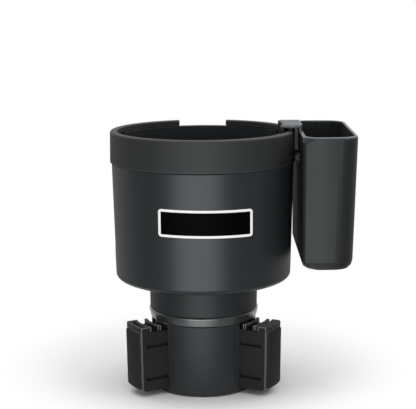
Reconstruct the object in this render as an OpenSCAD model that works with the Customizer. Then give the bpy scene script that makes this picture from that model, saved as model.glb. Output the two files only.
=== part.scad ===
// Cup holder expander: a wide cup on a turning neck, over a base whose three
// jaws spread to grip the holder in a vehicle, with a pocket hooked on its rim.
// Millimetres. Z is up, the foot rests at Z = 0, and the front is towards -Y.

/* [Cup] */
// Radius inside the cup
bore_r = 54.5; // [50:0.5:56]
// Wall of the spigot that the collar turns on
spigot_wall = 2.1; // [1.7:0.1:2.5]
// Step from the spigot out to the shoulder under the collar
shoulder_step = 1.6; // [1.4:0.1:5.4]
// How far the side leans in from the shoulder to the lower corner
side_draft = 1.8; // [0:0.1:4]
// Height from the underside of the cup to the shoulder
cup_h = 75.5; // [60:1:110]
// Thickness of the cup's floor
cup_floor = 3; // [2.5:0.5:5]
// Radius of the lower corner
cup_corner = 6; // [3:0.5:8]
// Height of the spigot
spigot_h = 16.6; // [12:0.2:30]
// Width of the slot down the cup's side
slot_w = 28; // [16:1:34]
// Height of the slot's lower end above the cup's underside
slot_up = 18.5; // [10:0.5:40]
// Direction of the slot
slot_az = 175; // [170:1:185]

/* [Collar] */
// Wall of the collar at its lower edge
collar_wall = 2.16; // [1.9:0.02:5.1]
// How far the collar's flange reaches inwards past the cup's wall
collar_lip = 0.2; // [0:0.1:3.5]
// Thickness of the flange that lies over the spigot
collar_flange = 3.4; // [2:0.2:5]
// Width of the gap in the collar
gate_w = 34; // [20:1:38]
// How far the collar turns from locked to open
collar_swing = 85; // [40:1:85]

/* [Side pocket] */
// Width of the pocket from the cup outwards
pocket_w = 34.3; // [24:0.1:45]
// Length of the pocket along the cup's side
pocket_l = 95; // [60:1:110]
// Depth of the pocket from rim to underside
pocket_h = 83; // [50:1:110]
// Wall thickness of the pocket
pocket_wall = 2; // [1.6:0.1:3]
// Radius of the pocket's upright corners
pocket_corner = 12; // [6:0.5:15]
// How much narrower the outer side is at the bottom
pocket_taper = 2.3; // [0:0.1:4]
// Length of the hook over the collar
hook_l = 28; // [20:1:44]
// Thickness of the hook's plate
hook_t = 1.7; // [1.4:0.1:3.2]
// Height of the hook's plate above the collar
hook_rise = 2.5; // [1:0.1:4]
// Depth of the hook's lips below its plate
hook_drop = 14; // [8:0.5:15]

/* [Neck] */
// Outer radius of the neck
neck_r = 34.8; // [34:0.1:36]
// Height of the neck
neck_h = 19; // [14:0.5:40]
// Wall thickness of the neck
neck_wall = 2.6; // [2:0.1:4]

/* [Base] */
// Outer radius at the top of the base
base_r = 33.9; // [33:0.1:36]
// How much smaller the radius is at the bottom
base_taper = 0.4; // [0:0.1:1.5]
// Height of the base to the top of its pillars
base_h = 46.1; // [38:0.1:60]
// Thickness of the foot pad
foot_t = 1.8; // [1.4:0.1:3]
// How far the foot pad stands proud
foot_proud = 0.6; // [0.3:0.1:1]

/* [Jaws] */
// Width of a jaw
jaw_w = 20.4; // [16:0.2:21]
// Outer radius of the grip pads with the jaws out
grip_r = 53; // [50:0.5:56]
// Length of a jaw that stays inside the base
jaw_hold = 12.4; // [10:0.2:14]
// How far the jaws draw in
jaw_travel = 15.5; // [10:0.5:15.5]
// Thickness of the grip pads
pad_t = 1.9; // [1.4:0.1:2.6]

/* [Scroll] */
// Distance that one turn moves the jaws
pitch = 7; // [6.6:0.1:8]
// Thickness of the scroll's ridge
ridge_t = 1.6; // [1.2:0.1:1.8]
// Thickness of the jaw teeth
tooth_t = 1.9; // [1.4:0.1:2.1]
// Height of the jaw teeth
tooth_h = 3.4; // [2.6:0.1:4]

/* [Label] */
// Width of the blank label
label_w = 58; // [30:1:70]
// Height of the blank label
label_h = 17.8; // [8:0.2:24]
// Width of its raised border
label_border = 1.75; // [0.8:0.05:2.5]
// Height of its middle above the cup's underside
label_up = 44.3; // [20:0.1:60]

/* [Hidden] */
$fn = 120;

// Clearances
turn_gap = 0.3;
slide_gap = 0.25;
journal_gap = 0.06;
fit_gap = 0.05;
seat_gap = 0.25;

// Radii of the cup and its collar, from the bore outwards
spigot_r = bore_r + spigot_wall;
shoulder_r = spigot_r + shoulder_step;
low_r = shoulder_r - side_draft;
collar_r = spigot_r + turn_gap + collar_wall;
collar_bore_r = bore_r - collar_lip;
// Longer than anything that it cuts
through = 2 * (collar_r + pocket_w);
slot_round = 6;

// Heights, from the foot up
base_z0 = foot_proud;
floor_z = base_z0 + foot_t - foot_proud + 1.8;
jaw_z0 = floor_z + 0.4;
teeth_z1 = base_h - 0.2;
teeth_z0 = teeth_z1 - tooth_h;
scroll_z0 = base_h + turn_gap;
scroll_t = 3;
band_h = 5.9;
band_lean = 0.85;
neck_z0 = scroll_z0 + band_h;
cup_z0 = neck_z0 + neck_h + 0.2;
cup_in_z = cup_z0 + cup_floor;
shoulder_z = cup_z0 + cup_h;
spigot_z1 = shoulder_z + spigot_h;
collar_z0 = shoulder_z + turn_gap;
flange_z0 = spigot_z1 + turn_gap;
collar_z1 = flange_z0 + collar_flange;

// Jaws stand at these directions
jaw_az = [-150, -30, 90];
guide_w = jaw_w + 2 * slide_gap;
jaw_in = base_r - jaw_hold;
jaw_body_r = grip_r - 1;
jaw_draft = 0.6;
block_t = 6.7;
block_r0 = grip_r - block_t;
jaw_chamfer = 1;
// Walls that the cores leave: inner end, middle, outer end
core_walls = [2.5, 2.2, 3.2];
// Teeth of the jaw at azimuth 0 would lie this far in from the pads
tooth_inset = 9.8;
tooth_phase = grip_r - tooth_inset;
function tooth_r(az, n) = tooth_phase - pitch * az / 360 - n * pitch;
// The inner teeth are bent no tighter than this radius
tooth_bend_min = 20;
// The scroll's ridge starts near the edge of its disc, and runs midway between the teeth
ridge_edge = 2.95;
ridge_r0 = min(base_r, neck_r) - ridge_edge;
ridge_phase = tooth_r(90, 0) - 1.5 * pitch;
ridge_a0 = 90 + 360 * (ridge_phase - ridge_r0) / pitch;
ridge_turns = 1.7;

// Guide rails in the housing run in grooves of the jaws
rail_z = [jaw_z0 + 8, teeth_z0 - 9.1];
rail_h = 1.6;
rail_d = 1.2;

// Post, its insert and the screw that holds the scroll down
post_r = 4.4;
post_z1 = scroll_z0 + scroll_t + 0.6;
insert_r = 2.8;
insert_l = 9;
drill_end = 5;
screw_r = 1.95;
washer_r = 8.5;
washer_t = 1.2;

// Small screws
small_r = 1.5;
small_head_r = 2.9;
small_head_t = 1.5;
scroll_screw_ring = neck_r - 13.8;
hub_screw_ring = neck_r - 8.8;
scroll_screw_az = [30, 150, 270];
hub_screw_az = [45, 135, 225, 315];

// Collar catch, stop and gate
bead_z = shoulder_z + 3.2;
bead_out = 0.6;
stop_az = -60;
stop_half = 2.5;
stop_h = 2;
gate_az = 90;

// Pocket
pocket_x0 = max(collar_r, shoulder_r) + 1.64;
pocket_neck_x = collar_r + 1.94;
pocket_z1 = collar_z1;
pocket_z0 = pocket_z1 - pocket_h;
pocket_round = 6;
leg_r = collar_r + 0.5;
lip_t = 2.1;
lip_gap = 1.4;
rib_y = hook_l / 2 + 1.5;
rib_t = 2.4;

// Label
label_shift = 1;
label_round = 1.9;

// Points on an arc, for profiles
function arc(cx, cy, r, a0, a1, steps = 8) =
    [for (i = [0:steps]) let (a = a0 + (a1 - a0) * i / steps) [cx + r * cos(a), cy + r * sin(a)]];
function arc2(cx, cy, rx, ry, a0, a1, steps = 8) =
    [for (i = [0:steps]) let (a = a0 + (a1 - a0) * i / steps) [cx + rx * cos(a), cy + ry * sin(a)]];

// Rectangle with round corners, centred, made of true arcs
module round_rect(w, h, r) {
    square([w - 2 * r, h], center = true);
    square([w, h - 2 * r], center = true);
    for (x = [-1, 1], y = [-1, 1])
        translate([x * (w / 2 - r), y * (h / 2 - r)]) circle(r, $fn = 48);
}

// Ring sector of a profile between two directions
module sweep(az0, az1) {
    rotate_extrude(angle = az1 - az0, start = az0) children();
}

// Pan head screw with its head's seat at the origin and its shank downwards
module pan_screw(r, length, head_r, head_t) {
    difference() {
        rotate_extrude($fn = 48) polygon(concat(
            [[0, -length], [r - 0.4, -length], [r, -length + 0.6], [r, 0], [head_r, 0]],
            arc(head_r - 0.6, head_t - 0.6, 0.6, 0, 90, 4),
            [[0, head_t]]
        ));
        for (a = [0, 90]) rotate([0, 0, a])
            translate([-head_r * 0.55, -0.3, head_t - 0.8]) cube([head_r * 1.1, 0.6, 1]);
    }
}

// Wedge between two jaw channels, in the direction of a pillar
module pillar_wedge(inset) {
    tip = (guide_w / 2 + inset) / sin(60);
    polygon([[tip, 0], [tip + through, through * tan(60)], [tip + through, -through * tan(60)]]);
}

module base_housing() {
    r_top = base_r;
    r_low = base_r - base_taper;
    scroll_room = ridge_r0 + ridge_t / 2 + 0.35;
    color("#2b2c2e") difference() {
        union() {
            difference() {
                rotate_extrude() polygon(concat(
                    [[0, base_z0]],
                    arc(r_low - 1.2, base_z0 + 1.2, 1.2, -90, 0),
                    [[r_top, base_h - 0.4], [r_top - 0.4, base_h], [0, base_h]]
                ));
                translate([0, 0, floor_z]) linear_extrude(base_h)
                    for (az = jaw_az) rotate(az) translate([0, -guide_w / 2]) square([through, guide_w]);
                // Room for the scroll's ridge
                translate([0, 0, teeth_z0 + 0.4]) cylinder(r = scroll_room, h = base_h);
                // Pillars are hollow, as moulded
                for (az = jaw_az) rotate([0, 0, az + 60])
                    translate([0, 0, floor_z + 1.5])
                        linear_extrude(base_h) intersection() {
                            pillar_wedge(2);
                            circle(base_r - 2.6);
                        }
            }
            // Guide rails
            intersection() {
                cylinder(r = base_r - 0.8, h = base_h);
                for (az = jaw_az, z = rail_z, side = [-1, 1]) rotate([0, 0, az])
                    translate([8, side > 0 ? guide_w / 2 - rail_d : -guide_w / 2 - 0.6, z - rail_h / 2])
                        cube([through, rail_d + 0.6, rail_h]);
            }
            // Post
            cylinder(r = post_r, h = post_z1, $fn = 64);
        }
        translate([0, 0, post_z1 - insert_l]) cylinder(r = insert_r + fit_gap, h = through, $fn = 48);
        translate([0, 0, post_z1 - insert_l - drill_end])
            cylinder(r = screw_r + fit_gap, h = drill_end + 1, $fn = 48);
        // Seat of the foot pad
        translate([0, 0, -1]) cylinder(r = base_r - 3, h = 1 + foot_t);
    }
}

module foot_pad() {
    color("#1b1b1c") difference() {
        cylinder(r = base_r - 3 - 0.2, h = foot_t);
        for (r = [14 : 4 : base_r - 6]) translate([0, 0, -1])
            difference() {
                cylinder(r = r + 0.6, h = 1.5);
                translate([0, 0, -1]) cylinder(r = r - 0.6, h = 4);
            }
    }
}

module post_insert() {
    color("#b08d4a") translate([0, 0, post_z1 - insert_l]) difference() {
        rotate_extrude($fn = 48) polygon([
            [0, 0], [insert_r - 0.4, 0], [insert_r, 0.6], [insert_r, 3.6], [insert_r - 0.5, 4],
            [insert_r - 0.5, 5], [insert_r, 5.4], [insert_r, insert_l], [0, insert_l]
        ]);
        translate([0, 0, -1]) cylinder(r = screw_r + fit_gap, h = insert_l + 2, $fn = 48);
    }
}

module centre_washer() {
    color("#b9bcc0") translate([0, 0, post_z1]) difference() {
        rotate_extrude() polygon([
            [0, 0], [washer_r - 0.3, 0], [washer_r, 0.3], [washer_r, washer_t - 0.3],
            [washer_r - 0.3, washer_t], [0, washer_t]
        ]);
        translate([0, 0, -1]) cylinder(r = screw_r + 0.25, h = washer_t + 2, $fn = 48);
    }
}

module centre_screw() {
    color("#a9acb0") translate([0, 0, post_z1 + washer_t]) pan_screw(screw_r, 12, 4, 2.5);
}

// Jaw along +X at full reach. lead is the radius of its outermost tooth.
module jaw(az) {
    lead = tooth_r(az, 0);
    slotted = lead + tooth_t / 2 > block_r0;
    edge_y = jaw_w / 2 - jaw_chamfer;
    block_in = slotted ? lead - tooth_t / 2 : block_r0;
    core_l = (jaw_body_r - jaw_in - core_walls[0] - core_walls[1] - core_walls[2]) / 2;
    body = [
        [jaw_in, -jaw_w / 2 + 2.4], [jaw_in + 2.4, -jaw_w / 2],
        [jaw_body_r - jaw_chamfer, -jaw_w / 2], [jaw_body_r, -edge_y], [jaw_body_r + 2, -edge_y],
        [jaw_body_r + 2, edge_y], [jaw_body_r, edge_y], [jaw_body_r - jaw_chamfer, jaw_w / 2],
        [jaw_in + 2.4, jaw_w / 2], [jaw_in, jaw_w / 2 - 2.4]
    ];
    color("#2f3032") rotate([0, 0, az]) difference() {
        union() {
            // Body, with a drafted outer face
            intersection() {
                translate([0, 0, jaw_z0]) linear_extrude(teeth_z0 - jaw_z0) polygon(body);
                rotate_extrude() polygon([
                    [0, 0], [jaw_body_r - jaw_draft - 1, jaw_z0],
                    [jaw_body_r - jaw_draft, jaw_z0 + 1], [jaw_body_r, teeth_z1 + 1], [0, teeth_z1 + 1]
                ]);
            }
            // Outer block, level with the teeth
            intersection() {
                translate([0, 0, teeth_z0 - 0.5]) linear_extrude(tooth_h + 0.5) difference() {
                    polygon(body);
                    circle(block_in);
                }
                rotate_extrude() polygon(concat(
                    [[0, 0], [jaw_body_r - 0.2, 0]],
                    arc(jaw_body_r - 0.9, teeth_z1 - 0.9, 0.9, 0, 90, 4),
                    [[0, teeth_z1]]
                ));
            }
            // Teeth that the scroll drives
            for (n = [0 : 6]) let (r = lead - n * pitch, bend = max(r - jaw_travel / 2, tooth_bend_min))
                if (r > jaw_in + tooth_t / 2 + 0.2 && r < block_in + 1)
                    translate([r - bend, 0, teeth_z0 - 0.5])
                        linear_extrude(tooth_h + 0.5) intersection() {
                            difference() {
                                circle(bend + tooth_t / 2);
                                circle(bend - tooth_t / 2);
                            }
                            translate([0, -jaw_w / 2 + 0.7])
                                square([grip_r, jaw_w - 1.4]);
                        }
        }
        // Slot through the outer block where a tooth and the lip would merge
        if (slotted) translate([0, 0, teeth_z0 - 1.2]) linear_extrude(through) intersection() {
            difference() {
                circle(jaw_body_r - 2.2);
                circle(lead + tooth_t / 2);
            }
            translate([0, -jaw_w / 2 + 2]) square([grip_r, jaw_w - 4]);
        }
        // Grooves for the guide rails
        for (z = rail_z, side = [-1, 1])
            translate([0, side * (jaw_w / 2 - 0.35), z])
                cube([2 * (grip_r - 5), 2 * (rail_d + 0.1), rail_h + 0.6], center = true);
        // Seat of the grip pad
        difference() {
            translate([grip_r, 0, (jaw_z0 + 1 + teeth_z0) / 2])
                rotate([90, 0, 90]) linear_extrude(12, center = true)
                    round_rect(jaw_w - 2.8, teeth_z0 - jaw_z0 - 1, 2);
            rotate_extrude() polygon([
                [0, 0], [grip_r - pad_t - jaw_draft - fit_gap, jaw_z0],
                [grip_r - pad_t - fit_gap, teeth_z1 + 1], [0, teeth_z1 + 1]
            ]);
        }
        // Cores, open downwards
        for (x = [jaw_in + core_walls[0], jaw_in + core_walls[0] + core_l + core_walls[1]])
            translate([x, -jaw_w / 2 + 3.4, jaw_z0 - 1]) cube([core_l, jaw_w - 6.8, teeth_z0 - jaw_z0 - 2]);
    }
}

module jaw_pad(az) {
    color("#1e1f20") rotate([0, 0, az]) intersection() {
        translate([grip_r, 0, (jaw_z0 + 1 + teeth_z0) / 2])
            rotate([90, 0, 90]) linear_extrude(12, center = true)
                round_rect(jaw_w - 2.8 - 2 * fit_gap, teeth_z0 - jaw_z0 - 1 - 2 * fit_gap, 2);
        rotate_extrude() polygon([
            [grip_r - pad_t - jaw_draft, jaw_z0], [grip_r - jaw_draft - 1.2, jaw_z0],
            [grip_r - jaw_draft, jaw_z0 + 2.2], [grip_r, teeth_z0 - 0.6],
            [grip_r - 0.6, teeth_z0], [grip_r - pad_t, teeth_z1 + 1]
        ]);
    }
}

// Flat spiral that falls inwards as the azimuth grows, as seen from above
module spiral_ridge() {
    steps = 80;
    function pt(i, side) =
        let (
            turn = ridge_turns * i / steps,
            a = ridge_a0 + 360 * turn,
            r = ridge_r0 - pitch * turn + side * ridge_t / 2
        )
        [r * cos(a), r * sin(a)];
    polygon(concat([for (i = [0:steps]) pt(i, 1)], [for (i = [steps:-1:0]) pt(i, -1)]));
}

module scroll_plate() {
    color("#303133") difference() {
        union() {
            // Disc with its visible band, which leans in towards its lower edge
            rotate_extrude() polygon(concat(
                [[0, scroll_z0]],
                arc(neck_r - band_lean - 0.1, scroll_z0 + 0.6, 0.6, -90, -10, 5),
                arc(neck_r - 0.5, neck_z0 - 1, 1, -10, 90, 7),
                [[neck_r - neck_wall - 0.5, neck_z0], [neck_r - neck_wall - 0.5, scroll_z0 + scroll_t], [0, scroll_z0 + scroll_t]]
            ));
            // Bosses for the screws of the neck
            for (az = scroll_screw_az) rotate([0, 0, az]) translate([scroll_screw_ring, 0, scroll_z0 + 1])
                cylinder(r = 4, h = band_h - 1, $fn = 48);
            // Thrust face under the washer
            cylinder(r = washer_r, h = post_z1 - turn_gap);
            translate([0, 0, teeth_z0 + 0.9]) linear_extrude(scroll_z0 - teeth_z0) spiral_ridge();
        }
        translate([0, 0, -1]) cylinder(r = post_r + journal_gap, h = through, $fn = 64);
        translate([0, 0, -1]) cylinder(r = washer_r + 1, h = scroll_z0 + 1);
        for (az = scroll_screw_az) rotate([0, 0, az]) translate([scroll_screw_ring, 0, scroll_z0 + 1.2])
            cylinder(r = small_r + fit_gap, h = through, $fn = 48);
    }
}

module scroll_screw(az) {
    color("#a9acb0") rotate([0, 0, az]) translate([scroll_screw_ring, 0, neck_z0 + 2.5])
        pan_screw(small_r, 6.6, small_head_r, small_head_t);
}

module neck_hub() {
    z1 = neck_z0 + neck_h;
    color("#2c2d2f") difference() {
        union() {
            rotate_extrude() polygon([
                [0, neck_z0], [neck_r - 0.5, neck_z0], [neck_r - 0.1, neck_z0 + 0.5],
                [neck_r + 0.2, z1], [neck_r - neck_wall, z1],
                [neck_r - neck_wall, neck_z0 + 2.5], [0, neck_z0 + 2.5]
            ]);
            for (az = hub_screw_az) rotate([0, 0, az]) {
                translate([hub_screw_ring, 0, neck_z0 + 1]) cylinder(r = 3.6, h = neck_h - 1, $fn = 48);
                translate([hub_screw_ring, -1, neck_z0 + 1]) cube([neck_r - neck_wall - hub_screw_ring + 0.5, 2, neck_h - 1]);
            }
        }
        translate([0, 0, neck_z0 - 1]) cylinder(r = washer_r + 2, h = neck_h);
        for (az = hub_screw_az) rotate([0, 0, az]) translate([hub_screw_ring, 0, z1 - 11])
            cylinder(r = small_r + fit_gap, h = 20, $fn = 48);
        for (az = scroll_screw_az) rotate([0, 0, az]) translate([scroll_screw_ring, 0, neck_z0 - 1])
            cylinder(r = small_r + 0.3, h = 10, $fn = 48);
    }
}

module hub_screw(az) {
    color("#a9acb0") rotate([0, 0, az]) translate([hub_screw_ring, 0, cup_in_z - small_head_t - 0.1])
        pan_screw(small_r, 9.6, small_head_r, small_head_t);
}

module cup_body() {
    draft = (shoulder_r - low_r) / (cup_h - cup_corner);
    floor_round = 4;
    color("#2d2e30") difference() {
        union() {
            rotate_extrude() polygon(concat(
                [[0, cup_z0]],
                arc2(low_r - cup_corner, cup_z0 + cup_corner * 0.7, cup_corner, cup_corner * 0.7, -90, 0, 10),
                [
                    [shoulder_r, shoulder_z - 0.3], [shoulder_r - 0.3, shoulder_z], [spigot_r, shoulder_z],
                    [spigot_r, bead_z - 0.6 - bead_out], [spigot_r + bead_out, bead_z - 0.6],
                    [spigot_r + bead_out, bead_z + 0.6], [spigot_r, bead_z + 0.6 + bead_out],
                    [spigot_r, spigot_z1 - 0.4], [spigot_r - 0.4, spigot_z1],
                    [bore_r + 0.4, spigot_z1], [bore_r, spigot_z1 - 0.4]
                ],
                arc(bore_r - floor_round, cup_in_z + floor_round, floor_round, 0, -90),
                [[0, cup_in_z]]
            ));
            // Register that centres the cup on the neck
            translate([0, 0, cup_z0 - 1.5]) difference() {
                cylinder(r = neck_r - neck_wall - 0.1, h = 2.5);
                translate([0, 0, -1]) cylinder(r = neck_r - neck_wall - 1.9, h = 6);
                for (az = hub_screw_az) rotate([0, 0, az])
                    translate([hub_screw_ring, 0, -1]) cylinder(r = 6.5, h = 2.5, $fn = 48);
            }
        }
        // Side slot, open upwards through the spigot
        rotate([0, 0, slot_az]) translate([bore_r - 8, 0, cup_z0 + slot_up]) rotate([90, 0, 90])
            linear_extrude(30) translate([0, through / 2]) round_rect(slot_w, through, slot_round);
        // Step in the spigot that the collar's stop runs in
        translate([0, 0, spigot_z1 - stop_h - 0.4])
            sweep(stop_az - stop_half - 0.5, stop_az + collar_swing + stop_half + 0.5)
                translate([bore_r - 2, 0]) square([10, 10]);
        // Screws to the neck, sunk in the floor
        for (az = hub_screw_az) rotate([0, 0, az]) translate([hub_screw_ring, 0, cup_z0 - 3]) {
            cylinder(r = small_r + 0.3, h = 20, $fn = 48);
            translate([0, 0, 3 + cup_floor - small_head_t - 0.1]) cylinder(r = small_head_r + 0.4, h = 20, $fn = 48);
        }
    }
}

module cup_mat() {
    color("#232425") translate([0, 0, cup_in_z]) difference() {
        rotate_extrude() polygon([
            [0, 0], [bore_r - 5, 0], [bore_r - 4.4, 0.6], [bore_r - 4.4, 1.2], [bore_r - 4.8, 1.6], [0, 1.6]
        ]);
        for (r = [10 : 8 : bore_r - 10]) translate([0, 0, 1])
            difference() {
                cylinder(r = r + 1, h = 2);
                translate([0, 0, -1]) cylinder(r = r - 1, h = 4);
            }
    }
}

// Blank label with a raised border, wrapped on the front of the cup
module label_plate() {
    mid_z = cup_z0 + label_up;
    draft = (shoulder_r - low_r) / (cup_h - cup_corner * 0.7);
    function face(z) = low_r + draft * (z - cup_z0 - cup_corner * 0.7);
    module skin(t0, t1) {
        z0 = mid_z - label_h;
        z1 = mid_z + label_h;
        rotate_extrude() polygon([
            [face(z0) + t0, z0], [face(z0) + t1, z0], [face(z1) + t1, z1], [face(z1) + t0, z1]
        ]);
    }
    module outline(inset) {
        translate([label_shift, 0, mid_z]) rotate([90, 0, 0]) linear_extrude(through)
            round_rect(label_w - 2 * inset, label_h - 2 * inset, max(label_round - inset, 0.4));
    }
    color("#e8e8e6") union() {
        intersection() {
            skin(fit_gap, 0.3);
            outline(0);
        }
        intersection() {
            skin(0.1, 0.5);
            difference() {
                outline(0);
                outline(label_border);
            }
        }
    }
}

module collar_ring() {
    half = asin(gate_w / 2 / collar_r);
    top_r = collar_r - 0.2;
    in_r = spigot_r + turn_gap;
    color("#2b2c2e") union() {
        sweep(gate_az + half, gate_az + 360 - half) polygon(concat(
            [[in_r, collar_z0], [collar_r - 0.3, collar_z0], [collar_r, collar_z0 + 0.4]],
            arc(top_r - 1.3, collar_z1 - 1.3, 1.3, 0, 90, 6),
            arc(collar_bore_r + 0.8, collar_z1 - 0.8, 0.8, 90, 180, 4),
            [
                [collar_bore_r, flange_z0], [in_r, flange_z0],
                [in_r, bead_z + 0.9 + bead_out], [in_r + bead_out, bead_z + 0.9],
                [in_r + bead_out, bead_z - 0.9], [in_r, bead_z - 0.9 - bead_out]
            ]
        ));
        // Stop under the flange
        sweep(stop_az - stop_half, stop_az + stop_half)
            translate([bore_r + 0.5, flange_z0 - stop_h]) square([spigot_wall - 0.5, stop_h + 1]);
    }
}

// Flat rounded outline of the pocket at one level
module pocket_slice(z, inset, side_inset) {
    x0 = pocket_x0 + inset;
    x1 = pocket_x0 + pocket_w - inset - side_inset;
    w = pocket_l - 2 * inset - side_inset;
    r = max(pocket_corner - inset, 2);
    translate([(x0 + x1) / 2, 0, z]) linear_extrude(0.01)
        round_rect(x1 - x0, w, min(r, (x1 - x0) / 2 - 0.1));
}

module pocket_solid(inset, z0, z1) {
    k = (z0 - pocket_z0) / pocket_h;
    hull() {
        pocket_slice(z1, inset, inset > 0 ? 0 : 0.6);
        if (inset == 0) pocket_slice(z1 - 1, 0, 0);
        for (a = [0, 30, 60, 90])
            pocket_slice(z0 + (pocket_round - inset) * (1 - sin(a)),
                inset + (pocket_round - inset) * (1 - cos(a)), pocket_taper * (1 - k));
    }
}

module side_pocket() {
    lip_r1 = collar_bore_r - lip_gap;
    plate_z0 = collar_z1 + hook_rise;
    plate_z1 = plate_z0 + hook_t;
    lip_z0 = plate_z0 - hook_drop;
    neck_x1 = pocket_x0 + pocket_wall - 0.1;
    color("#2e2f31") {
        difference() {
            pocket_solid(0, pocket_z0, pocket_z1);
            pocket_solid(pocket_wall, pocket_z0 + pocket_wall, pocket_z1 + 1);
        }
        // Hook: inner lip, plate and outer leg
        intersection() {
            sweep(-30, 30) polygon(concat(
                [
                    [lip_r1 - lip_t, lip_z0 + 0.6], [lip_r1 - lip_t + 0.6, lip_z0],
                    [lip_r1 - 0.4, lip_z0], [lip_r1, lip_z0 + 0.5], [lip_r1, plate_z0],
                    [leg_r, plate_z0], [leg_r, lip_z0], [leg_r + lip_t, lip_z0],
                    [leg_r + lip_t, plate_z1]
                ],
                arc(lip_r1 - lip_t + 1.4, plate_z1 - 1.4, 1.4, 90, 180, 5)
            ));
            translate([0, -hook_l / 2, 0]) cube([neck_x1, hook_l, 300]);
        }
        // Plate and neck out to the pocket's wall
        translate([0, -hook_l / 2, 0]) {
            difference() {
                translate([leg_r - 4, 0, plate_z0]) cube([neck_x1 - leg_r + 4, hook_l, hook_t]);
                translate([0, hook_l / 2, 0]) cylinder(r = leg_r - 1, h = 300);
            }
            translate([pocket_neck_x, 0, pocket_z1 - 2])
                cube([neck_x1 - pocket_neck_x, hook_l, plate_z0 - pocket_z1 + 3]);
        }
        // Saddle that rests on the collar
        intersection() {
            sweep(-30, 30) translate([collar_bore_r + 1, collar_z1 + seat_gap])
                square([collar_r - collar_bore_r - 2.4, hook_rise]);
            translate([0, -hook_l / 2 + 3, 0]) cube([neck_x1, hook_l - 6, 300]);
        }
        // Wedge ribs that steady the pocket against the collar
        for (y = [-rib_y, rib_y]) translate([0, y + rib_t / 2, 0]) rotate([90, 0, 0]) linear_extrude(rib_t) {
            tip = sqrt(pow(collar_r + turn_gap, 2) - pow(rib_y - rib_t / 2, 2));
            polygon([[pocket_x0 + 0.5, collar_z0 + 7.4], [tip, collar_z0 + 4], [pocket_x0 + 0.5, collar_z0 + 0.6]]);
        }
    }
}

base_housing();
foot_pad();
post_insert();
centre_screw();
centre_washer();
for (i = [0:2]) {
    jaw(jaw_az[i]);
    jaw_pad(jaw_az[i]);
    scroll_screw(scroll_screw_az[i]);
}
scroll_plate();
neck_hub();
for (i = [0:3])
    hub_screw(hub_screw_az[i]);
cup_body();
cup_mat();
label_plate();
collar_ring();
side_pocket();
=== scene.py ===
# %% [markdown]
# Cup holder expander, dressed for its portrait.
# The construction model gives every rigid moulding at its real size. This lesson loads it, gives each
# moulding the finish of the real one, sharpens the pocket's corners, models the printed label in mesh
# code, and sets up a pale studio.
# Everything is in metres, with +Z up and the foot of the base at Z = 0.

# %% Load the construction model
import math

import bmesh
import bpy
from mathutils import Matrix, Vector


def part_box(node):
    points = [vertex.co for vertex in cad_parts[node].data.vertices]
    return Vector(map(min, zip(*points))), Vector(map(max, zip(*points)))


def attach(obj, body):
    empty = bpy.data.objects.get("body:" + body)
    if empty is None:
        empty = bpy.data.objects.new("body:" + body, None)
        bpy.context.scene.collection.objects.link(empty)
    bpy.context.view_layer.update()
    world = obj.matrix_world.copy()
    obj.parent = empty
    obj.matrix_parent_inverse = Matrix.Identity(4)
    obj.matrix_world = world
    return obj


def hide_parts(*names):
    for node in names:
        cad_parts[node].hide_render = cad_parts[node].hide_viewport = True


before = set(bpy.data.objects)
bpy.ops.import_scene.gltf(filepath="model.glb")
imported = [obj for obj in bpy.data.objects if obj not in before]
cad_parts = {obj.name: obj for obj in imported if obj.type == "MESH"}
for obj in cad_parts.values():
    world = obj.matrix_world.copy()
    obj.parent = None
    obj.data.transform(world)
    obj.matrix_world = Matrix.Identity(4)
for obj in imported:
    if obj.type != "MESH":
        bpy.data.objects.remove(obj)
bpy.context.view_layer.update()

MM = 0.001

# %% [markdown]
# The camera comes first, because every later choice is judged through it.
# The picture was taken with a long lens from a little above the rim, looking down by about ten degrees.
# Those angles were found by fitting circles of known size to the rim, the shoulder and the base.

# %% Camera
CAMERA_SIDE = 3.27 * MM
CAMERA_BACK = 787.2 * MM
CAMERA_HEIGHT = 260.5 * MM
CAMERA_PITCH = math.radians(10.22)
CAMERA_ROLL = math.radians(-0.37)
LENS_MM = 107.47
SENSOR_MM = 36.0


def make_camera():
    data = bpy.data.cameras.new("camera")
    data.lens = LENS_MM
    data.sensor_width = SENSOR_MM
    data.clip_start = 0.05
    data.clip_end = 50
    camera = bpy.data.objects.new("camera", data)
    bpy.context.scene.collection.objects.link(camera)
    look = Matrix.Rotation(math.pi / 2 - CAMERA_PITCH, 4, "X") @ Matrix.Rotation(CAMERA_ROLL, 4, "Z")
    camera.matrix_world = Matrix.Translation((CAMERA_SIDE, -CAMERA_BACK, CAMERA_HEIGHT)) @ look
    bpy.context.scene.camera = camera
    return camera


camera = make_camera()
print("camera", [round(v, 3) for v in camera.location])

# %% [markdown]
# Shader trees are easier to read when a short helper makes and wires each node.
# A group is built once, and then each material places it with values of its own.

# %% Helpers for shader trees


def connect(tree, value, socket):
    """Link the value where it is another socket, or else store it in the socket."""
    if isinstance(value, bpy.types.NodeSocket):
        tree.links.new(value, socket)
    else:
        socket.default_value = value


def add(tree, kind, inputs=None, **settings):
    """One node with its settings, and its inputs by name."""
    node = tree.nodes.new(kind)
    for name, value in settings.items():
        setattr(node, name, value)
    for name, value in (inputs or {}).items():
        connect(tree, value, node.inputs[name])
    return node


def math_node(tree, operation, a, b=0.0, clamp=False):
    node = add(tree, "ShaderNodeMath", operation=operation, use_clamp=clamp)
    connect(tree, a, node.inputs[0])
    connect(tree, b, node.inputs[1])
    return node.outputs[0]


def new_group(name, inputs, outputs):
    """An empty shader group with named float inputs and named outputs."""
    group = bpy.data.node_groups.new(name, "ShaderNodeTree")
    for label, default in inputs:
        socket = group.interface.new_socket(label, in_out="INPUT", socket_type="NodeSocketFloat")
        socket.default_value = default
    for label, kind in outputs:
        group.interface.new_socket(label, in_out="OUTPUT", socket_type=kind)
    return group, group.nodes.new("NodeGroupInput"), group.nodes.new("NodeGroupOutput")


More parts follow.
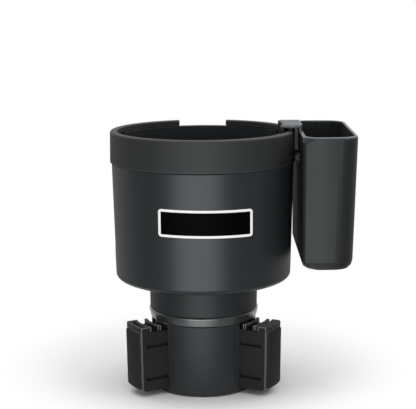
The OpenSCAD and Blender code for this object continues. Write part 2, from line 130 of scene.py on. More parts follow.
print("helpers:", [helper.__name__ for helper in (connect, add, math_node, new_group)])

# %% [markdown]
# Moulded plastic is never quite smooth. The tool's spark-eroded cavity leaves a fine, even grain of about
# a third of a millimetre, and the melt leaves faint clouds where it cooled at different speeds.
# A picture of grain would need every mesh to be unwrapped. Noise in the object's own coordinates needs
# nothing, has no seams, and stays with the plastic when a piece moves.

# %% Grain group


def build_grain():
    group, start, end = new_group(
        "mould grain",
        [("Grain size mm", 0.35), ("Cloud size mm", 30.0)],
        [("Height", "NodeSocketFloat"), ("Clouds", "NodeSocketFloat")],
    )
    place = add(group, "ShaderNodeTexCoord").outputs["Object"]
    grain_scale = math_node(group, "DIVIDE", 1000.0, start.outputs["Grain size mm"])
    cloud_scale = math_node(group, "DIVIDE", 1000.0, start.outputs["Cloud size mm"])
    fine = {"Vector": place, "Scale": grain_scale, "Detail": 2.0, "Roughness": 0.6}
    broad = {"Vector": place, "Scale": cloud_scale, "Detail": 3.0, "Roughness": 0.55}
    grain = add(group, "ShaderNodeTexNoise", fine)
    clouds = add(group, "ShaderNodeTexNoise", broad)
    group.links.new(grain.outputs["Fac"], end.inputs["Height"])
    group.links.new(clouds.outputs["Fac"], end.inputs["Clouds"])
    return group


GRAIN = build_grain()
print("group", GRAIN.name, "is ready")

# %% [markdown]
# No moulding has a knife edge. Real bevels would change the meshes of the construction model, so the
# Bevel node rounds every edge in the shading alone, by a radius in metres. Together with the painted
# highlight below, that is how the corners of the jaws and the rim catch the light as thin bright lines.
# The outer edges get that painted highlight, a paler colour that makes them look lit, but the inner ones
# of a groove don't. An Ambient Occlusion node that looks into the plastic tells them apart: only near an
# outer edge does it meet another face close by. So the same group also gives a mask of the outer edges.
# It can be kept to some of them: the ones beyond a distance from the axis, such as the jaws' corners,
# and the ones above a height, such as the teeth on top of the jaws.

# %% Edge group


def build_edges():
    group, start, end = new_group(
        "soft edges with painted highlight",
        [("Radius", 0.0005), ("Sharpness", 3.0), ("Highlight beyond", 0.0), ("Highlight above", 1.0)],
        [("Normal", "NodeSocketVector"), ("Edge", "NodeSocketFloat")],
    )
    bevel = add(group, "ShaderNodeBevel", {"Radius": start.outputs["Radius"]}, samples=6)
    reach = math_node(group, "MULTIPLY", start.outputs["Radius"], 2.0)
    looking_in = {"inside": True, "only_local": True, "samples": 8}
    inside = add(group, "ShaderNodeAmbientOcclusion", {"Distance": reach}, **looking_in)
    near = math_node(group, "SUBTRACT", 1.0, inside.outputs["AO"])
    outer = math_node(group, "MULTIPLY", near, start.outputs["Sharpness"], clamp=True)
    place = add(group, "ShaderNodeTexCoord").outputs["Object"]
    flat = add(group, "ShaderNodeVectorMath", {0: place, 1: (1, 1, 0)}, operation="MULTIPLY")
    from_axis = add(group, "ShaderNodeVectorMath", {0: flat.outputs[0]}, operation="LENGTH").outputs["Value"]
    beyond = math_node(group, "GREATER_THAN", from_axis, start.outputs["Highlight beyond"])
    height = add(group, "ShaderNodeSeparateXYZ", {"Vector": place}).outputs["Z"]
    above = math_node(group, "GREATER_THAN", height, start.outputs["Highlight above"])
    highlight_region = math_node(group, "MAXIMUM", beyond, above)
    # mask of the outer edges that get a painted highlight
    edge = math_node(group, "MULTIPLY", outer, highlight_region)
    group.links.new(bevel.outputs[0], end.inputs["Normal"])
    group.links.new(edge, end.inputs["Edge"])
    return group


EDGES = build_edges()
print("group", EDGES.name, "is ready")

# %% [markdown]
# A few more helpers are shared by all materials. One places a group in a material's tree and sets its
# values, one blends two colours, and one lets a value wander about its middle, because no real surface
# has the same gloss all over.

# %% Helpers for materials


def new_material(name):
    """A material, its tree and its Principled BSDF."""
    material = bpy.data.materials.new(name)
    material.use_nodes = True
    return material, material.node_tree, material.node_tree.nodes["Principled BSDF"]


def place_group(tree, group, values):
    node = add(tree, "ShaderNodeGroup", node_tree=group)
    for name, value in values.items():
        node.inputs[name].default_value = value
    return node


def mix_colour(tree, factor, a, b):
    """A blend of two colours, each a plain value or the output of another node."""
    node = add(tree, "ShaderNodeMix", {0: factor}, data_type="RGBA")
    sockets = [s for s in node.inputs if s.type == "RGBA"]
    for socket, value in zip(sockets, (a, b)):
        connect(tree, value if isinstance(value, bpy.types.NodeSocket) else (*value[:3], 1), socket)
    return [s for s in node.outputs if s.type == "RGBA"][0]


def uneven(tree, noise, middle, swing, noise_low=0.0, noise_high=1.0):
    """A value that goes from below its middle to above it as the noise rises."""
    given = {"Value": noise, "From Min": noise_low, "From Max": noise_high}
    wanted = {"To Min": middle - swing, "To Max": middle + swing}
    return add(tree, "ShaderNodeMapRange", {**given, **wanted}).outputs["Result"]


print("helpers:", [helper.__name__ for helper in (new_material, place_group, mix_colour, uneven)])

# %% [markdown]
# One function writes every moulded plastic, because the real mouldings share one resin and differ only in
# how their cavities were polished. The colour, the gloss and the depth of the grain are its arguments.
# A shine that is a little blue, in place of a blue base colour, keeps the dark sides neutral and cools
# only the highlights, as on the real cup.

# %% Moulded plastic
GRAIN_DEPTH = 0.00006
GRAIN_STRENGTH = 0.6
CLOUD_MM = 28.0
CLOUD_SHADE = 0.06
CLOUD_LOW = 0.3
CLOUD_HIGH = 0.7
GLOSS_SWING = 0.02
EDGE_SHARPNESS = 3.0
COOL_SHINE = (0.9, 0.98, 1.0)
PLAIN_SHINE = (0.96, 0.985, 1.0)


def moulding(
    name, colour, roughness, specular,
    grain_mm=0.35, edge_mm=0.5, edge_highlight_gain=1.8, highlight_region_mm=(0, 1000), shine=PLAIN_SHINE,
):
    """Satin plastic with grain, clouds, rounded edges and a painted highlight on its outer edges."""
    material, tree, shader = new_material(name)
    grain = place_group(tree, GRAIN, {"Grain size mm": grain_mm, "Cloud size mm": CLOUD_MM})
    beyond, above = (v * MM for v in highlight_region_mm)
    highlight_region = {"Highlight beyond": beyond, "Highlight above": above}
    edges = place_group(tree, EDGES, {"Radius": edge_mm * MM, "Sharpness": EDGE_SHARPNESS, **highlight_region})
    dark, pale = ([c * (1 + side * CLOUD_SHADE) for c in colour] for side in (-1, 1))
    cloudy = mix_colour(tree, grain.outputs["Clouds"], dark, pale)
    # painted highlight: the outer edges get a paler colour, so that they look lit
    painted_highlight = mix_colour(tree, edges.outputs["Edge"], cloudy, [min(c * edge_highlight_gain, 1.0) for c in colour])
    rough = uneven(tree, grain.outputs["Clouds"], roughness, GLOSS_SWING, CLOUD_LOW, CLOUD_HIGH)
    depth = {"Distance": GRAIN_DEPTH * grain_mm, "Strength": GRAIN_STRENGTH}
    relief = {"Height": grain.outputs["Height"], "Normal": edges.outputs["Normal"], **depth}
    bump = add(tree, "ShaderNodeBump", relief)
    tree.links.new(painted_highlight, shader.inputs["Base Color"])
    tree.links.new(rough, shader.inputs["Roughness"])
    tree.links.new(bump.outputs["Normal"], shader.inputs["Normal"])
    shader.inputs["Specular IOR Level"].default_value = specular
    shader.inputs["Specular Tint"].default_value = (*shine, 1)
    return material


print("a grain of 0.35 mm is", round(GRAIN_DEPTH * 0.35 / MM, 6), "mm deep")

# %% [markdown]
# The cup has the finest cavity and the collar a coarser one. The jaws are darker, and a strong painted
# highlight makes their outer corners and the tops of their teeth pale. The grip pads, the foot and the mat
# are a dull black rubber.

# %% Charcoal mouldings and rubber
CHARCOAL = (0.0185, 0.0205, 0.0225)
DARKER = (0.0145, 0.0155, 0.0165)
JAW_CHARCOAL = (0.013, 0.0138, 0.0146)
RUBBER_BLACK = (0.0115, 0.0115, 0.0122)
# where the jaws' outer edges get the painted highlight: beyond this distance from the axis, or above this
# height, in mm
JAW_CORNERS_BEYOND = 49.5
JAW_TEETH_ABOVE = 42.7
JAW_HIGHLIGHT_REGION = (JAW_CORNERS_BEYOND, JAW_TEETH_ABOVE)

# every moulding's outer edges get a painted highlight, strongest on the jaws
BODY = moulding("charcoal cup", CHARCOAL, 0.38, 0.6, shine=COOL_SHINE)
NECK = moulding("charcoal neck and base", CHARCOAL, 0.47, 0.4)
COLLAR = moulding("charcoal collar", DARKER, 0.6, 0.68, edge_highlight_gain=3)
POCKET = moulding("charcoal pocket", DARKER, 0.42, 0.42)
JAW = moulding("charcoal jaw", JAW_CHARCOAL, 0.5, 0.3, edge_mm=0.4, edge_highlight_gain=11, highlight_region_mm=JAW_HIGHLIGHT_REGION)
RUBBER = moulding("black rubber", RUBBER_BLACK, 0.7, 0.25, grain_mm=0.6)
print("finishes:", [m.name for m in (BODY, NECK, COLLAR, POCKET, JAW, RUBBER)])

# %% [markdown]
# The band under the neck is the one polished moulding, because it turns against the base. A smoother
# plastic alone would still look dull under soft lamps, so it has a coat over a denser plastic, which
# gives its short, bright highlight.

# %% Polished band
SCROLL = moulding("charcoal scroll", CHARCOAL, 0.3, 1.0)
polished = SCROLL.node_tree.nodes["Principled BSDF"].inputs
polished["IOR"].default_value = 1.8
polished["Coat Weight"].default_value = 1.0
polished["Coat Roughness"].default_value = 0.3
print("finish:", SCROLL.name, "with a coat")

# %% [markdown]
# The screws, the washer and the insert sit inside, where they show only when the part is taken apart.
# A metal has no colour under its shine, so Metallic is 1, and the tint of the plating or the brass is the
# base colour. A fine unevenness in the gloss does the rest.

# %% Metals
METAL_SWING = 0.08


def metal(name, colour, roughness):
    material, tree, shader = new_material(name)
    shader.inputs["Metallic"].default_value = 1.0
    grain = place_group(tree, GRAIN, {"Grain size mm": 0.2, "Cloud size mm": 3.0})
    edges = place_group(tree, EDGES, {"Radius": 0.15 * MM, "Sharpness": EDGE_SHARPNESS})
    tint = mix_colour(tree, grain.outputs["Clouds"], [c * 0.9 for c in colour], colour)
    rough = uneven(tree, grain.outputs["Height"], roughness, METAL_SWING)
    tree.links.new(tint, shader.inputs["Base Color"])
    tree.links.new(rough, shader.inputs["Roughness"])
    tree.links.new(edges.outputs["Normal"], shader.inputs["Normal"])
    return material


STEEL = metal("zinc plated steel", (0.56, 0.57, 0.58), 0.34)
BRASS = metal("machined brass", (0.68, 0.5, 0.22), 0.3)
print("metals:", STEEL.name, "and", BRASS.name)

# %% [markdown]
# Every node of the construction model gets its finish by name. A key that ends in an underscore stands
# for all nodes whose names start with it, and where two keys fit, the longer one is meant.

# %% Dress the construction nodes
FINISH = {
    "base_housing": NECK,
    "neck_hub": NECK,
    "cup_body": BODY,
    "collar_ring": COLLAR,
    "side_pocket": POCKET,
    "scroll_plate": SCROLL,
    "jaw_": JAW,
    "jaw_pad_": RUBBER,
    "foot_pad": RUBBER,
    "cup_mat": RUBBER,
    "centre_": STEEL,
    "scroll_screw_": STEEL,
    "hub_screw_": STEEL,
    "post_insert": BRASS,
    "label_plate": BODY,
}


def finish_of(node):
    """The finish whose name is the longest start of the node's name."""
    key = max((k for k in FINISH if node.startswith(k)), key=len)
    return FINISH[key]


for name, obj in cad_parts.items():
    obj.data.materials.clear()
    obj.data.materials.append(finish_of(name))
print("dressed", len(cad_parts), "nodes")

# %% [markdown]
# The pocket's two upright corners towards the cup are much sharper on the real moulding than in the
# construction model, except near the rim, where they open out in a sweep like that of the outer ones.
# A mesh of the construction model is never changed, so the pocket is remade here from a copy of it.
# First its flat wall towards the cup and its length at the rim and at the foot are measured.

# %% Walls of the pocket
POCKET_LOW, POCKET_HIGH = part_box("side_pocket")
POCKET_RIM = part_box("collar_ring")[1].z
ROUNDED_FOOT = 6 * MM
FOOT_MARGIN = 0.1 * MM
RIM_MARGIN = 1.5 * MM


def pocket_walls(mesh):
    """X of the flat wall towards the cup, and half the length at the rim and at the foot."""
    below = [v.co for v in mesh.vertices if v.co.z < POCKET_LOW.z + ROUNDED_FOOT + FOOT_MARGIN]
    top = [v.co for v in mesh.vertices if abs(v.co.z - POCKET_RIM) < RIM_MARGIN]
    return min(p.x for p in below), max(p.y for p in top), max(p.y for p in below)


pocket_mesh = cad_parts["side_pocket"].data.copy()
pocket_mesh.name = "pocket_moulding"
WALL_X, HALF_TOP, HALF_LOW = pocket_walls(pocket_mesh)
print("pocket's flat wall and half lengths, mm:", [round(v / MM, 2) for v in (WALL_X, HALF_TOP, HALF_LOW)])

# %% [markdown]
# The corners could be modelled again from nothing, but then the hook and the walls would have to be
# fitted to them. Instead each corner point slides outwards along its own radius, so that the wall keeps
# its thickness and everything else stays where it was. The slide fades out towards the rounded foot and
# towards the rim.

# %% Sharper corners
ROUND_CORNER = 12 * MM
SHARP_CORNER = 3 * MM
RIM_CORNER = 9 * MM
OPENING_OUT = 4 * MM
LEAST_RADIUS = 0.6 * MM
RIM_TOLERANCE = 0.05 * MM


def smooth_step(share):
    share = max(0.0, min(1.0, share))
    return share * share * (3 - 2 * share)


def sharpen(point):
    """Where a point of an inner corner goes. Points outside the two corners stay."""
    down = (POCKET_RIM - point.z) / (POCKET_RIM - POCKET_LOW.z)
    half = HALF_TOP + (HALF_LOW - HALF_TOP) * down
    side = 1 if point.y > 0 else -1
    centre = Vector((WALL_X + ROUND_CORNER, side * (half - ROUND_CORNER)))
    spoke = Vector((point.x, point.y)) - centre
    if spoke.x >= 0 or spoke.y * side <= 0 or point.z > POCKET_RIM + RIM_TOLERANCE:
        return point
    above_foot = smooth_step((point.z - POCKET_LOW.z) / ROUNDED_FOOT)
    below_rim = smooth_step((POCKET_RIM - point.z) / OPENING_OUT)
    radius = RIM_CORNER + (SHARP_CORNER - RIM_CORNER) * below_rim
    slide = (ROUND_CORNER - radius) * above_foot
    length = max(spoke.length - slide, LEAST_RADIUS)
    place = centre + Vector((-slide, side * slide)) + spoke.normalized() * length
    return Vector((place.x, place.y, point.z))


corner = Vector((WALL_X + 3.5 * MM, -HALF_TOP + 3.5 * MM, POCKET_RIM - 20 * MM))
print("a corner point slides by", round((sharpen(corner) - corner).length / MM, 2), "mm")

# %% [markdown]
# The long walls aren't quite flat either. They swell a little between their corners, which stiffens such
# a pocket, and it is what makes the light fade across its front.

# %% Swelling of the long walls
BOW = 0.6 * MM
WALL_REACH = 5 * MM


def bow(point):
    """Points of the long walls move outwards, most in the middle between the corners."""
    near_wall = abs(point.y) > HALF_TOP - WALL_REACH
    flat_from = WALL_X + SHARP_CORNER
    flat_to = POCKET_HIGH.x - ROUND_CORNER
    if not near_wall or not flat_from < point.x < flat_to or point.z > POCKET_RIM + RIM_TOLERANCE:
        return point
    share = (point.x - flat_from) / (flat_to - flat_from)
    swell = 4 * BOW * share * (1 - share)
    return Vector((point.x, point.y + math.copysign(swell, point.y), point.z))


print("the long walls swell by", BOW / MM, "mm")

# %% [markdown]
# A flat wall has no points in its middle to move, so extra rings are cut under the rim and extra columns
# along the wall. The pocket has two more finishes. The wall towards the cup is rougher and hardly shines,
# which is painted shade that keeps it dark in the narrow gap by the cup. The rim and the hook's plate are
# smoother, and a paler colour and paler edges paint a highlight on them.

# %% Finishes of the pocket
# paler charcoal that paints a highlight on the rim and the hook's plate
PAINTED_HIGHLIGHT_CHARCOAL = (0.025, 0.028, 0.031)
# painted shade: the wall towards the cup hardly shines, so it stays dark like the gap beside the cup
POCKET_SHADE = moulding("charcoal pocket, side with painted shade", DARKER, 0.6, 0.06)
# painted highlight: the rim and the hook's plate get a paler colour and paler edges, so that they look lit
POCKET_TOP = moulding("charcoal pocket, painted highlight top", PAINTED_HIGHLIGHT_CHARCOAL, 0.32, 0.7, edge_highlight_gain=7)
PLAIN_SLOT, SHADE_SLOT, TOP_SLOT = range(3)
RIM_BAND = 1.1 * MM
PLATE_BAND = 1.5 * MM
WALL_BAND = 0.2 * MM


def pocket_slot(face):
    """Which of the pocket's finishes a face has."""
    middle = face.calc_center_median()
    normal = face.normal
    on_rim = abs(middle.z - POCKET_RIM) < RIM_BAND and middle.x > WALL_X
    plate_front = middle.z > POCKET_HIGH.z - PLATE_BAND and normal.y < -0.5
    plate_top = middle.z > POCKET_RIM and normal.z > 0.5
    # the rim and the hook's plate get the finish with the painted highlight
    if on_rim or plate_front or plate_top:
        return TOP_SLOT
    # the flat wall towards the cup gets the finish with painted shade
    on_flat_wall = normal.x < -0.95 and abs(middle.x - WALL_X) < WALL_BAND
    return SHADE_SLOT if on_flat_wall else PLAIN_SLOT


print("pocket finishes:", POCKET.name, "|", POCKET_SHADE.name, "|", POCKET_TOP.name)

# %% [markdown]
# Now the pocket is put together: the copy is cut, its points are moved, and each face gets its finish.
# The new piece hangs on the collar and turns with it, in the place of the construction model's pocket.

# %% Pocket
RINGS = 8
COLUMNS = 11
COLUMN_STEP = 2.6 * MM
SHARP_ANGLE = math.radians(32)


def cut(build, place, direction):
    everything = build.verts[:] + build.edges[:] + build.faces[:]
    bmesh.ops.bisect_plane(build, geom=everything, plane_co=place, plane_no=direction)


def make_pocket(mesh):
    build = bmesh.new()
    build.from_mesh(mesh)
    for i in range(1, RINGS + 1):
        cut(build, (0, 0, POCKET_RIM - OPENING_OUT * i / RINGS), (0, 0, 1))
    for i in range(1, COLUMNS + 1):
        cut(build, (WALL_X + COLUMN_STEP * i, 0, 0), (1, 0, 0))
    for vertex in build.verts:
        vertex.co = bow(sharpen(vertex.co))
    for face in build.faces:
        face.normal_update()
        face.material_index = pocket_slot(face)
    build.to_mesh(mesh)
    build.free()
    for material in (POCKET_SHADE, POCKET_TOP):
        mesh.materials.append(material)
    mesh.set_sharp_from_angle(angle=SHARP_ANGLE)
    piece = bpy.data.objects.new("pocket_moulding", mesh)
    bpy.context.scene.collection.objects.link(piece)
    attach(piece, "collar")
    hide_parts("side_pocket")
    return piece


pocket_piece = make_pocket(pocket_mesh)
print("pocket faces:", len(pocket_piece.data.polygons))

# %% [markdown]
# The label is a thin printed film on the front of the cup. Its own pieces are modelled rather than
# painted: a white raised border and a black field, both wrapped on the cup's drafted wall.
# The wall's radius at any height is read from the cup's own mesh, and the label's place from its node.

# %% Wall of the cup
RING_BAND = 10 * MM
FOOT_BAND = 8 * MM


def widest(node, low, high):
    """Radius and height of the widest ring of a node's mesh between two heights."""
    points = [vertex.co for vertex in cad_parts[node].data.vertices]
    return max((math.hypot(p.x, p.y), p.z) for p in points if low < p.z < high)


SHOULDER_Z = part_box("collar_ring")[0].z
CUP_BOTTOM_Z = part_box("neck_hub")[1].z
TOP_RING = widest("cup_body", SHOULDER_Z - RING_BAND, SHOULDER_Z)
LOW_RING = widest("cup_body", CUP_BOTTOM_Z, CUP_BOTTOM_Z + FOOT_BAND)


def on_wall(x, z, lift):
    """The point in front of the cup at x and z, lifted off its wall."""
    share = (z - LOW_RING[1]) / (TOP_RING[1] - LOW_RING[1])
    radius = LOW_RING[0] + share * (TOP_RING[0] - LOW_RING[0]) + lift
    return Vector((x, -math.sqrt(radius * radius - x * x), z))


print("wall radius, low and high, mm:", round(LOW_RING[0] / MM, 2), round(TOP_RING[0] / MM, 2))

# %% [markdown]
# The real label was stuck on by eye, a little off its place and about half a degree out of level. Its
# outline is a rounded rectangle. The same outline, drawn further and further in, gives each ring of the
# border, and its points lie close enough together to follow the round wall.

# %% Label outline
LABEL_LOW, LABEL_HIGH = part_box("label_plate")
LABEL_SHIFT = Vector((0.7, 0, 0.8)) * MM
LABEL_TRIM = Vector((0.75, 0, 0.7)) * MM
LABEL_TILT = 0.01
LABEL_ROUND = 1.9 * MM
LEAST_ROUND = 0.4 * MM
BORDER = 1.55 * MM
CORNER_STEPS = 8
WIDTH_STEPS = 40
HEIGHT_STEPS = 10
LABEL_MID = (LABEL_LOW + LABEL_HIGH) / 2 + LABEL_SHIFT
LABEL_SIZE = LABEL_HIGH - LABEL_LOW - LABEL_TRIM


def on_label(x, z, lift):
    """A point of the label, given from its middle."""
    return on_wall(LABEL_MID.x + x, LABEL_MID.z + z - LABEL_TILT * x, lift)


def label_shape(inset):
    """Half width, half height and corner radius of the label's shape, drawn in by the inset."""
    return LABEL_SIZE.x / 2 - inset, LABEL_SIZE.z / 2 - inset, max(LABEL_ROUND - inset, LEAST_ROUND)


def outline(inset):
    """Rounded rectangle, anticlockwise."""
    half_w, half_h, turn = label_shape(inset)
    points = []
    for quarter, (sx, sz) in enumerate(((1, 1), (-1, 1), (-1, -1), (1, -1))):
        centre = (sx * (half_w - turn), sz * (half_h - turn))
        for i in range(CORNER_STEPS + 1):
            a = math.radians(90 * quarter + 90 * i / CORNER_STEPS)
            points.append((centre[0] + turn * math.cos(a), centre[1] + turn * math.sin(a)))
        along_width = quarter % 2 == 0
        run = 2 * (half_w - turn) if along_width else 2 * (half_h - turn)
        count = WIDTH_STEPS if along_width else HEIGHT_STEPS
        ahead = (-sx, 0) if along_width else (0, -sz)
        last = points[-1]
        for i in range(1, count):
            points.append((last[0] + ahead[0] * run * i / count, last[1] + ahead[1] * run * i / count))
    return points


print("label, mm:", round(LABEL_SIZE.x / MM, 2), "by", round(LABEL_SIZE.z / MM, 2))
print("points of its outline:", len(outline(0)))

# %% [markdown]
# Ink on film is smooth, so it has no grain and no worn edges, only the faint clouds of the print.

# %% Inks
INK_SWING = 0.04


def print_film(name, colour, roughness, specular):
    """Ink on film, with the faint unevenness of the print."""
    material, tree, shader = new_material(name)
    grain = place_group(tree, GRAIN, {"Grain size mm": 0.15, "Cloud size mm": 9.0})
    ink = mix_colour(tree, grain.outputs["Clouds"], [c * 0.97 for c in colour], colour)
    rough = uneven(tree, grain.outputs["Clouds"], roughness, INK_SWING)
    tree.links.new(ink, shader.inputs["Base Color"])
    tree.links.new(rough, shader.inputs["Roughness"])
    shader.inputs["Specular IOR Level"].default_value = specular
    return material


WHITE_PRINT = print_film("white print", (0.8, 0.8, 0.79), 0.35, 0.3)
BLACK_PRINT = print_film("black print", (0.001, 0.001, 0.001), 0.5, 0.03)
print("inks:", WHITE_PRINT.name, "and", BLACK_PRINT.name)

# %% [markdown]
# The border is a low rounded bead of thick ink. A curve with a bevel could draw it, but only a swept
# mesh lies on the drafted wall at every point. Each point of the section is a ring along the outline, and
# the last ring joins the first again, so that the bead is closed all round.

# %% Label border
# Across the border: share of its width from the outer edge, and height above the wall in millimetres
BORDER_SECTION = [
    (0.0, 0.06), (0.0, 0.34), (0.08, 0.44), (0.22, 0.5),
    (0.5, 0.52),
    (0.78, 0.5), (0.92, 0.44), (1.0, 0.34), (1.0, 0.06),
]


def mesh_object(name, build, material):
    bmesh.ops.recalc_face_normals(build, faces=build.faces)
    mesh = bpy.data.meshes.new(name)
    build.to_mesh(mesh)
    build.free()
    mesh.materials.append(material)
    for face in mesh.polygons:
        face.use_smooth = True
    piece = bpy.data.objects.new(name, mesh)
    bpy.context.scene.collection.objects.link(piece)
    return piece


def label_border(material):
    build = bmesh.new()
    rings = []
    for share, lift in BORDER_SECTION:
        rings.append([build.verts.new(on_label(x, z, lift * MM)) for x, z in outline(share * BORDER)])
    count = len(rings[0])
    for a, b in zip(rings, rings[1:] + rings[:1]):
        for i in range(count):
            j = (i + 1) % count
            build.faces.new((a[i], a[j], b[j], b[i]))
    return mesh_object("label_border", build, material)


border_piece = label_border(WHITE_PRINT)
print("border faces:", len(border_piece.data.polygons))

# %% [markdown]
# The field is the film itself, a slab a quarter of a millimetre thick. It is built in upright columns that
# follow the wall. A cosine crowds them towards both ends, where they trace the rounded corners.

# %% Label field
FIELD_UNDER_BORDER = 0.2 * MM
FIELD_FRONT = 0.3 * MM
FIELD_BACK = 0.08 * MM
FIELD_COLUMNS = 56
FIELD_ROWS = 12


def field_grid(build, lift):
    """Columns of points at one height above the wall."""
    half_w, half_h, turn = label_shape(BORDER - FIELD_UNDER_BORDER)
    grid = []
    for i in range(FIELD_COLUMNS + 1):
        x = -half_w * math.cos(math.pi * i / FIELD_COLUMNS)
        over = max(abs(x) - (half_w - turn), 0)
        half = half_h - turn + math.sqrt(max(turn * turn - over * over, 0))
        heights = [half * (2 * j / FIELD_ROWS - 1) for j in range(FIELD_ROWS + 1)]
        grid.append([build.verts.new(on_label(x, z, lift)) for z in heights])
    return grid


def label_field(material):
    """The black film inside the border."""
    build = bmesh.new()
    front, back = (field_grid(build, lift) for lift in (FIELD_FRONT, FIELD_BACK))
    for i in range(FIELD_COLUMNS):
        for j in range(FIELD_ROWS):
            build.faces.new((front[i][j], front[i + 1][j], front[i + 1][j + 1], front[i][j + 1]))
            build.faces.new((back[i][j], back[i][j + 1], back[i + 1][j + 1], back[i + 1][j]))
        for j in (0, FIELD_ROWS):
            build.faces.new((front[i][j], back[i][j], back[i + 1][j], front[i + 1][j]))
    for j in range(FIELD_ROWS):
        for i in (0, FIELD_COLUMNS):
            build.faces.new((front[i][j], front[i][j + 1], back[i][j + 1], back[i][j]))
    return mesh_object("label_field", build, material)


field_piece = label_field(BLACK_PRINT)
print("field faces:", len(field_piece.data.polygons))

# %% [markdown]
# Both pieces of the label turn with the cup, and together they take the place of the construction
# model's plain label.

# %% Place of the label
for piece in (border_piece, field_piece):
    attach(piece, "cup")
    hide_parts("label_plate")
print("the label rides on the cup in", len((border_piece, field_piece)), "pieces")

# %% [markdown]
# The studio is a short pale floor in a white surround. What is white in the picture is white because of
# its own colour, and not because of strong lamps. The surround has three values: pure white for the
# camera, a plain level for the light that it sends on the part, and for reflections a glow that is dim in
# front, pale behind and brighter above that. The dim front keeps the dark plastic dark, and the pale
# back gives its sides and rims their thin bright edges.

# %% Background in reflections
WHITE = (1, 1, 1, 1)
FRONT_GLOW = 0.08
BACK_GLOW = 0.4
UPPER_GLOW = 0.7
GLOW_RISE = 0.12
GLOW_FRONT_EDGE = -0.2
GLOW_BACK_EDGE = 0.6


def seen_directly(tree):
    """1 for the rays that show the background: from the camera, in reflections and through glass."""
    path = add(tree, "ShaderNodeLightPath")
    mirror = math_node(tree, "MAXIMUM", path.outputs["Is Camera Ray"], path.outputs["Is Glossy Ray"])
    return math_node(tree, "MAXIMUM", mirror, path.outputs["Is Transmission Ray"])


def backdrop(tree, place, reach):
    """White for the camera, and for reflections the glow at this place, within this reach."""
    parts = add(tree, "ShaderNodeSeparateXYZ", {"Vector": place})
    upwards = {"Value": parts.outputs["Z"], "From Min": 0.0, "From Max": GLOW_RISE}
    behind = add(tree, "ShaderNodeMapRange", {**upwards, "To Min": BACK_GLOW, "To Max": UPPER_GLOW})
    front, back = (edge * reach for edge in (GLOW_FRONT_EDGE, GLOW_BACK_EDGE))
    backwards = {"Value": parts.outputs["Y"], "From Min": front, "From Max": back}
    glow = add(
        tree,
        "ShaderNodeMapRange",
        {**backwards, "To Min": FRONT_GLOW, "To Max": behind.outputs["Result"]},
        interpolation_type="SMOOTHSTEP",
    )
    camera_ray = add(tree, "ShaderNodeLightPath").outputs["Is Camera Ray"]
    return math_node(tree, "MAXIMUM", camera_ray, glow.outputs["Result"])


print("glow in front, behind and above:", FRONT_GLOW, BACK_GLOW, UPPER_GLOW)

# %% [markdown]
# Near the part the floor is matte and keeps the shadow. Further out it fades to the same white as the
# surround, so that its edge can't be seen. The disc is short, and it lies a little towards the back,
# because the part has to see the low lamp past its front edge.

# %% Floor
FLOOR_COLOUR = (0.84, 0.84, 0.845)
FLOOR_REACH = 0.15
FLOOR_BACK = 0.05
FADE_FROM = 0.085
FADE_TO = 0.147


def floor_material():
    """Matte near the part, so that it keeps the shadow, and plain white further out."""
    material, tree, shader = new_material("pale floor")
    shader.inputs["Base Color"].default_value = (*FLOOR_COLOUR, 1)
    shader.inputs["Roughness"].default_value = 0.8
    shader.inputs["Specular IOR Level"].default_value = 0.1
    place = add(tree, "ShaderNodeTexCoord").outputs["Object"]
    reach = add(tree, "ShaderNodeVectorMath", {0: place}, operation="LENGTH").outputs["Value"]
    fade = {"Value": reach, "From Min": FADE_FROM, "From Max": FADE_TO}
    far = add(tree, "ShaderNodeMapRange", fade, interpolation_type="SMOOTHSTEP").outputs["Result"]
    white = add(tree, "ShaderNodeEmission", {"Color": WHITE, "Strength": backdrop(tree, place, FADE_TO)})
    share = math_node(tree, "MULTIPLY", far, seen_directly(tree))
    blend = add(tree, "ShaderNodeMixShader", {0: share, 1: shader.outputs["BSDF"], 2: white.outputs[0]})
    tree.links.new(blend.outputs["Shader"], tree.nodes["Material Output"].inputs["Surface"])
    return material


def make_floor():
    mesh = bpy.data.meshes.new("studio_floor")
    build = bmesh.new()
    bmesh.ops.create_circle(build, cap_ends=True, segments=64, radius=FLOOR_REACH)
    build.to_mesh(mesh)
    build.free()
    floor = bpy.data.objects.new("studio_floor", mesh)
    floor.location.y = FLOOR_BACK
    bpy.context.scene.collection.objects.link(floor)
    mesh.materials.append(floor_material())
    return floor


floor = make_floor()
print("floor:", FLOOR_REACH, "m to its edge, matte within", FADE_FROM, "m")

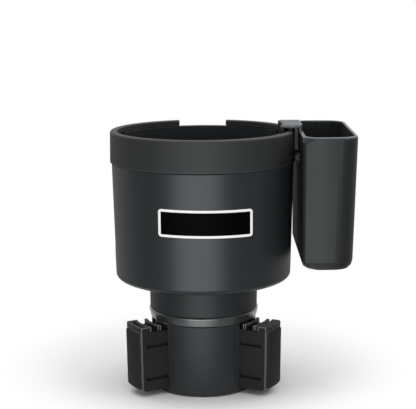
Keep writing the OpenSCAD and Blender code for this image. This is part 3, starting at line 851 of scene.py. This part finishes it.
# %% [markdown]
# Two soft boxes light the part, at a level at which a colour renders about as it is written. The wide one
# in front stands a little to the left and low, partly below the floor's level. It paints the broad
# upright highlight down the cup. The large one overhead lights the floor and the rims.

# %% Lamps
AIM = Vector((0, 0, 0.09))


def soft_box(name, azimuth, elevation, distance, width, height, watts):
    """Area lamp aimed at the part. Azimuth 0 is in front and 90 on the right."""
    data = bpy.data.lights.new(name, "AREA")
    data.shape = "RECTANGLE"
    data.size = width
    data.size_y = height
    data.energy = watts
    lamp = bpy.data.objects.new(name, data)
    bpy.context.scene.collection.objects.link(lamp)
    a = math.radians(azimuth)
    e = math.radians(elevation)
    away = Vector((math.sin(a) * math.cos(e), -math.cos(a) * math.cos(e), math.sin(e)))
    lamp.location = AIM + away * distance
    lamp.rotation_euler = away.to_track_quat("Z", "Y").to_euler()
    return lamp


front_box = soft_box("front box", -7.0, -14, distance=1.5, width=1.55, height=1.2, watts=13)
overhead_box = soft_box("overhead box", 90, 78, distance=1.3, width=2.4, height=2.4, watts=24)
print("lamps:", front_box.data.energy, "W in front,", overhead_box.data.energy, "W overhead")

# %% [markdown]
# The world does the same as the floor's edge: it is white for the camera, it glows in reflections, and
# for all other rays it is an even light that fills the shadows.

# %% Surround
AMBIENT = 0.6


def make_world():
    world = bpy.data.worlds.new("studio")
    world.use_nodes = True
    tree = world.node_tree
    tree.nodes.clear()
    soft = add(tree, "ShaderNodeBackground", {"Color": WHITE, "Strength": AMBIENT})
    place = add(tree, "ShaderNodeTexCoord").outputs["Generated"]
    white = add(tree, "ShaderNodeBackground", {"Color": WHITE, "Strength": backdrop(tree, place, 1.0)})
    seen = seen_directly(tree)
    blend = add(tree, "ShaderNodeMixShader", {0: seen, 1: soft.outputs[0], 2: white.outputs[0]})
    add(tree, "ShaderNodeOutputWorld", {"Surface": blend.outputs[0]})
    bpy.context.scene.world = world
    return world


make_world()
bpy.context.scene.view_settings.view_transform = "Standard"
print("surround of", AMBIENT, "in the Standard view")
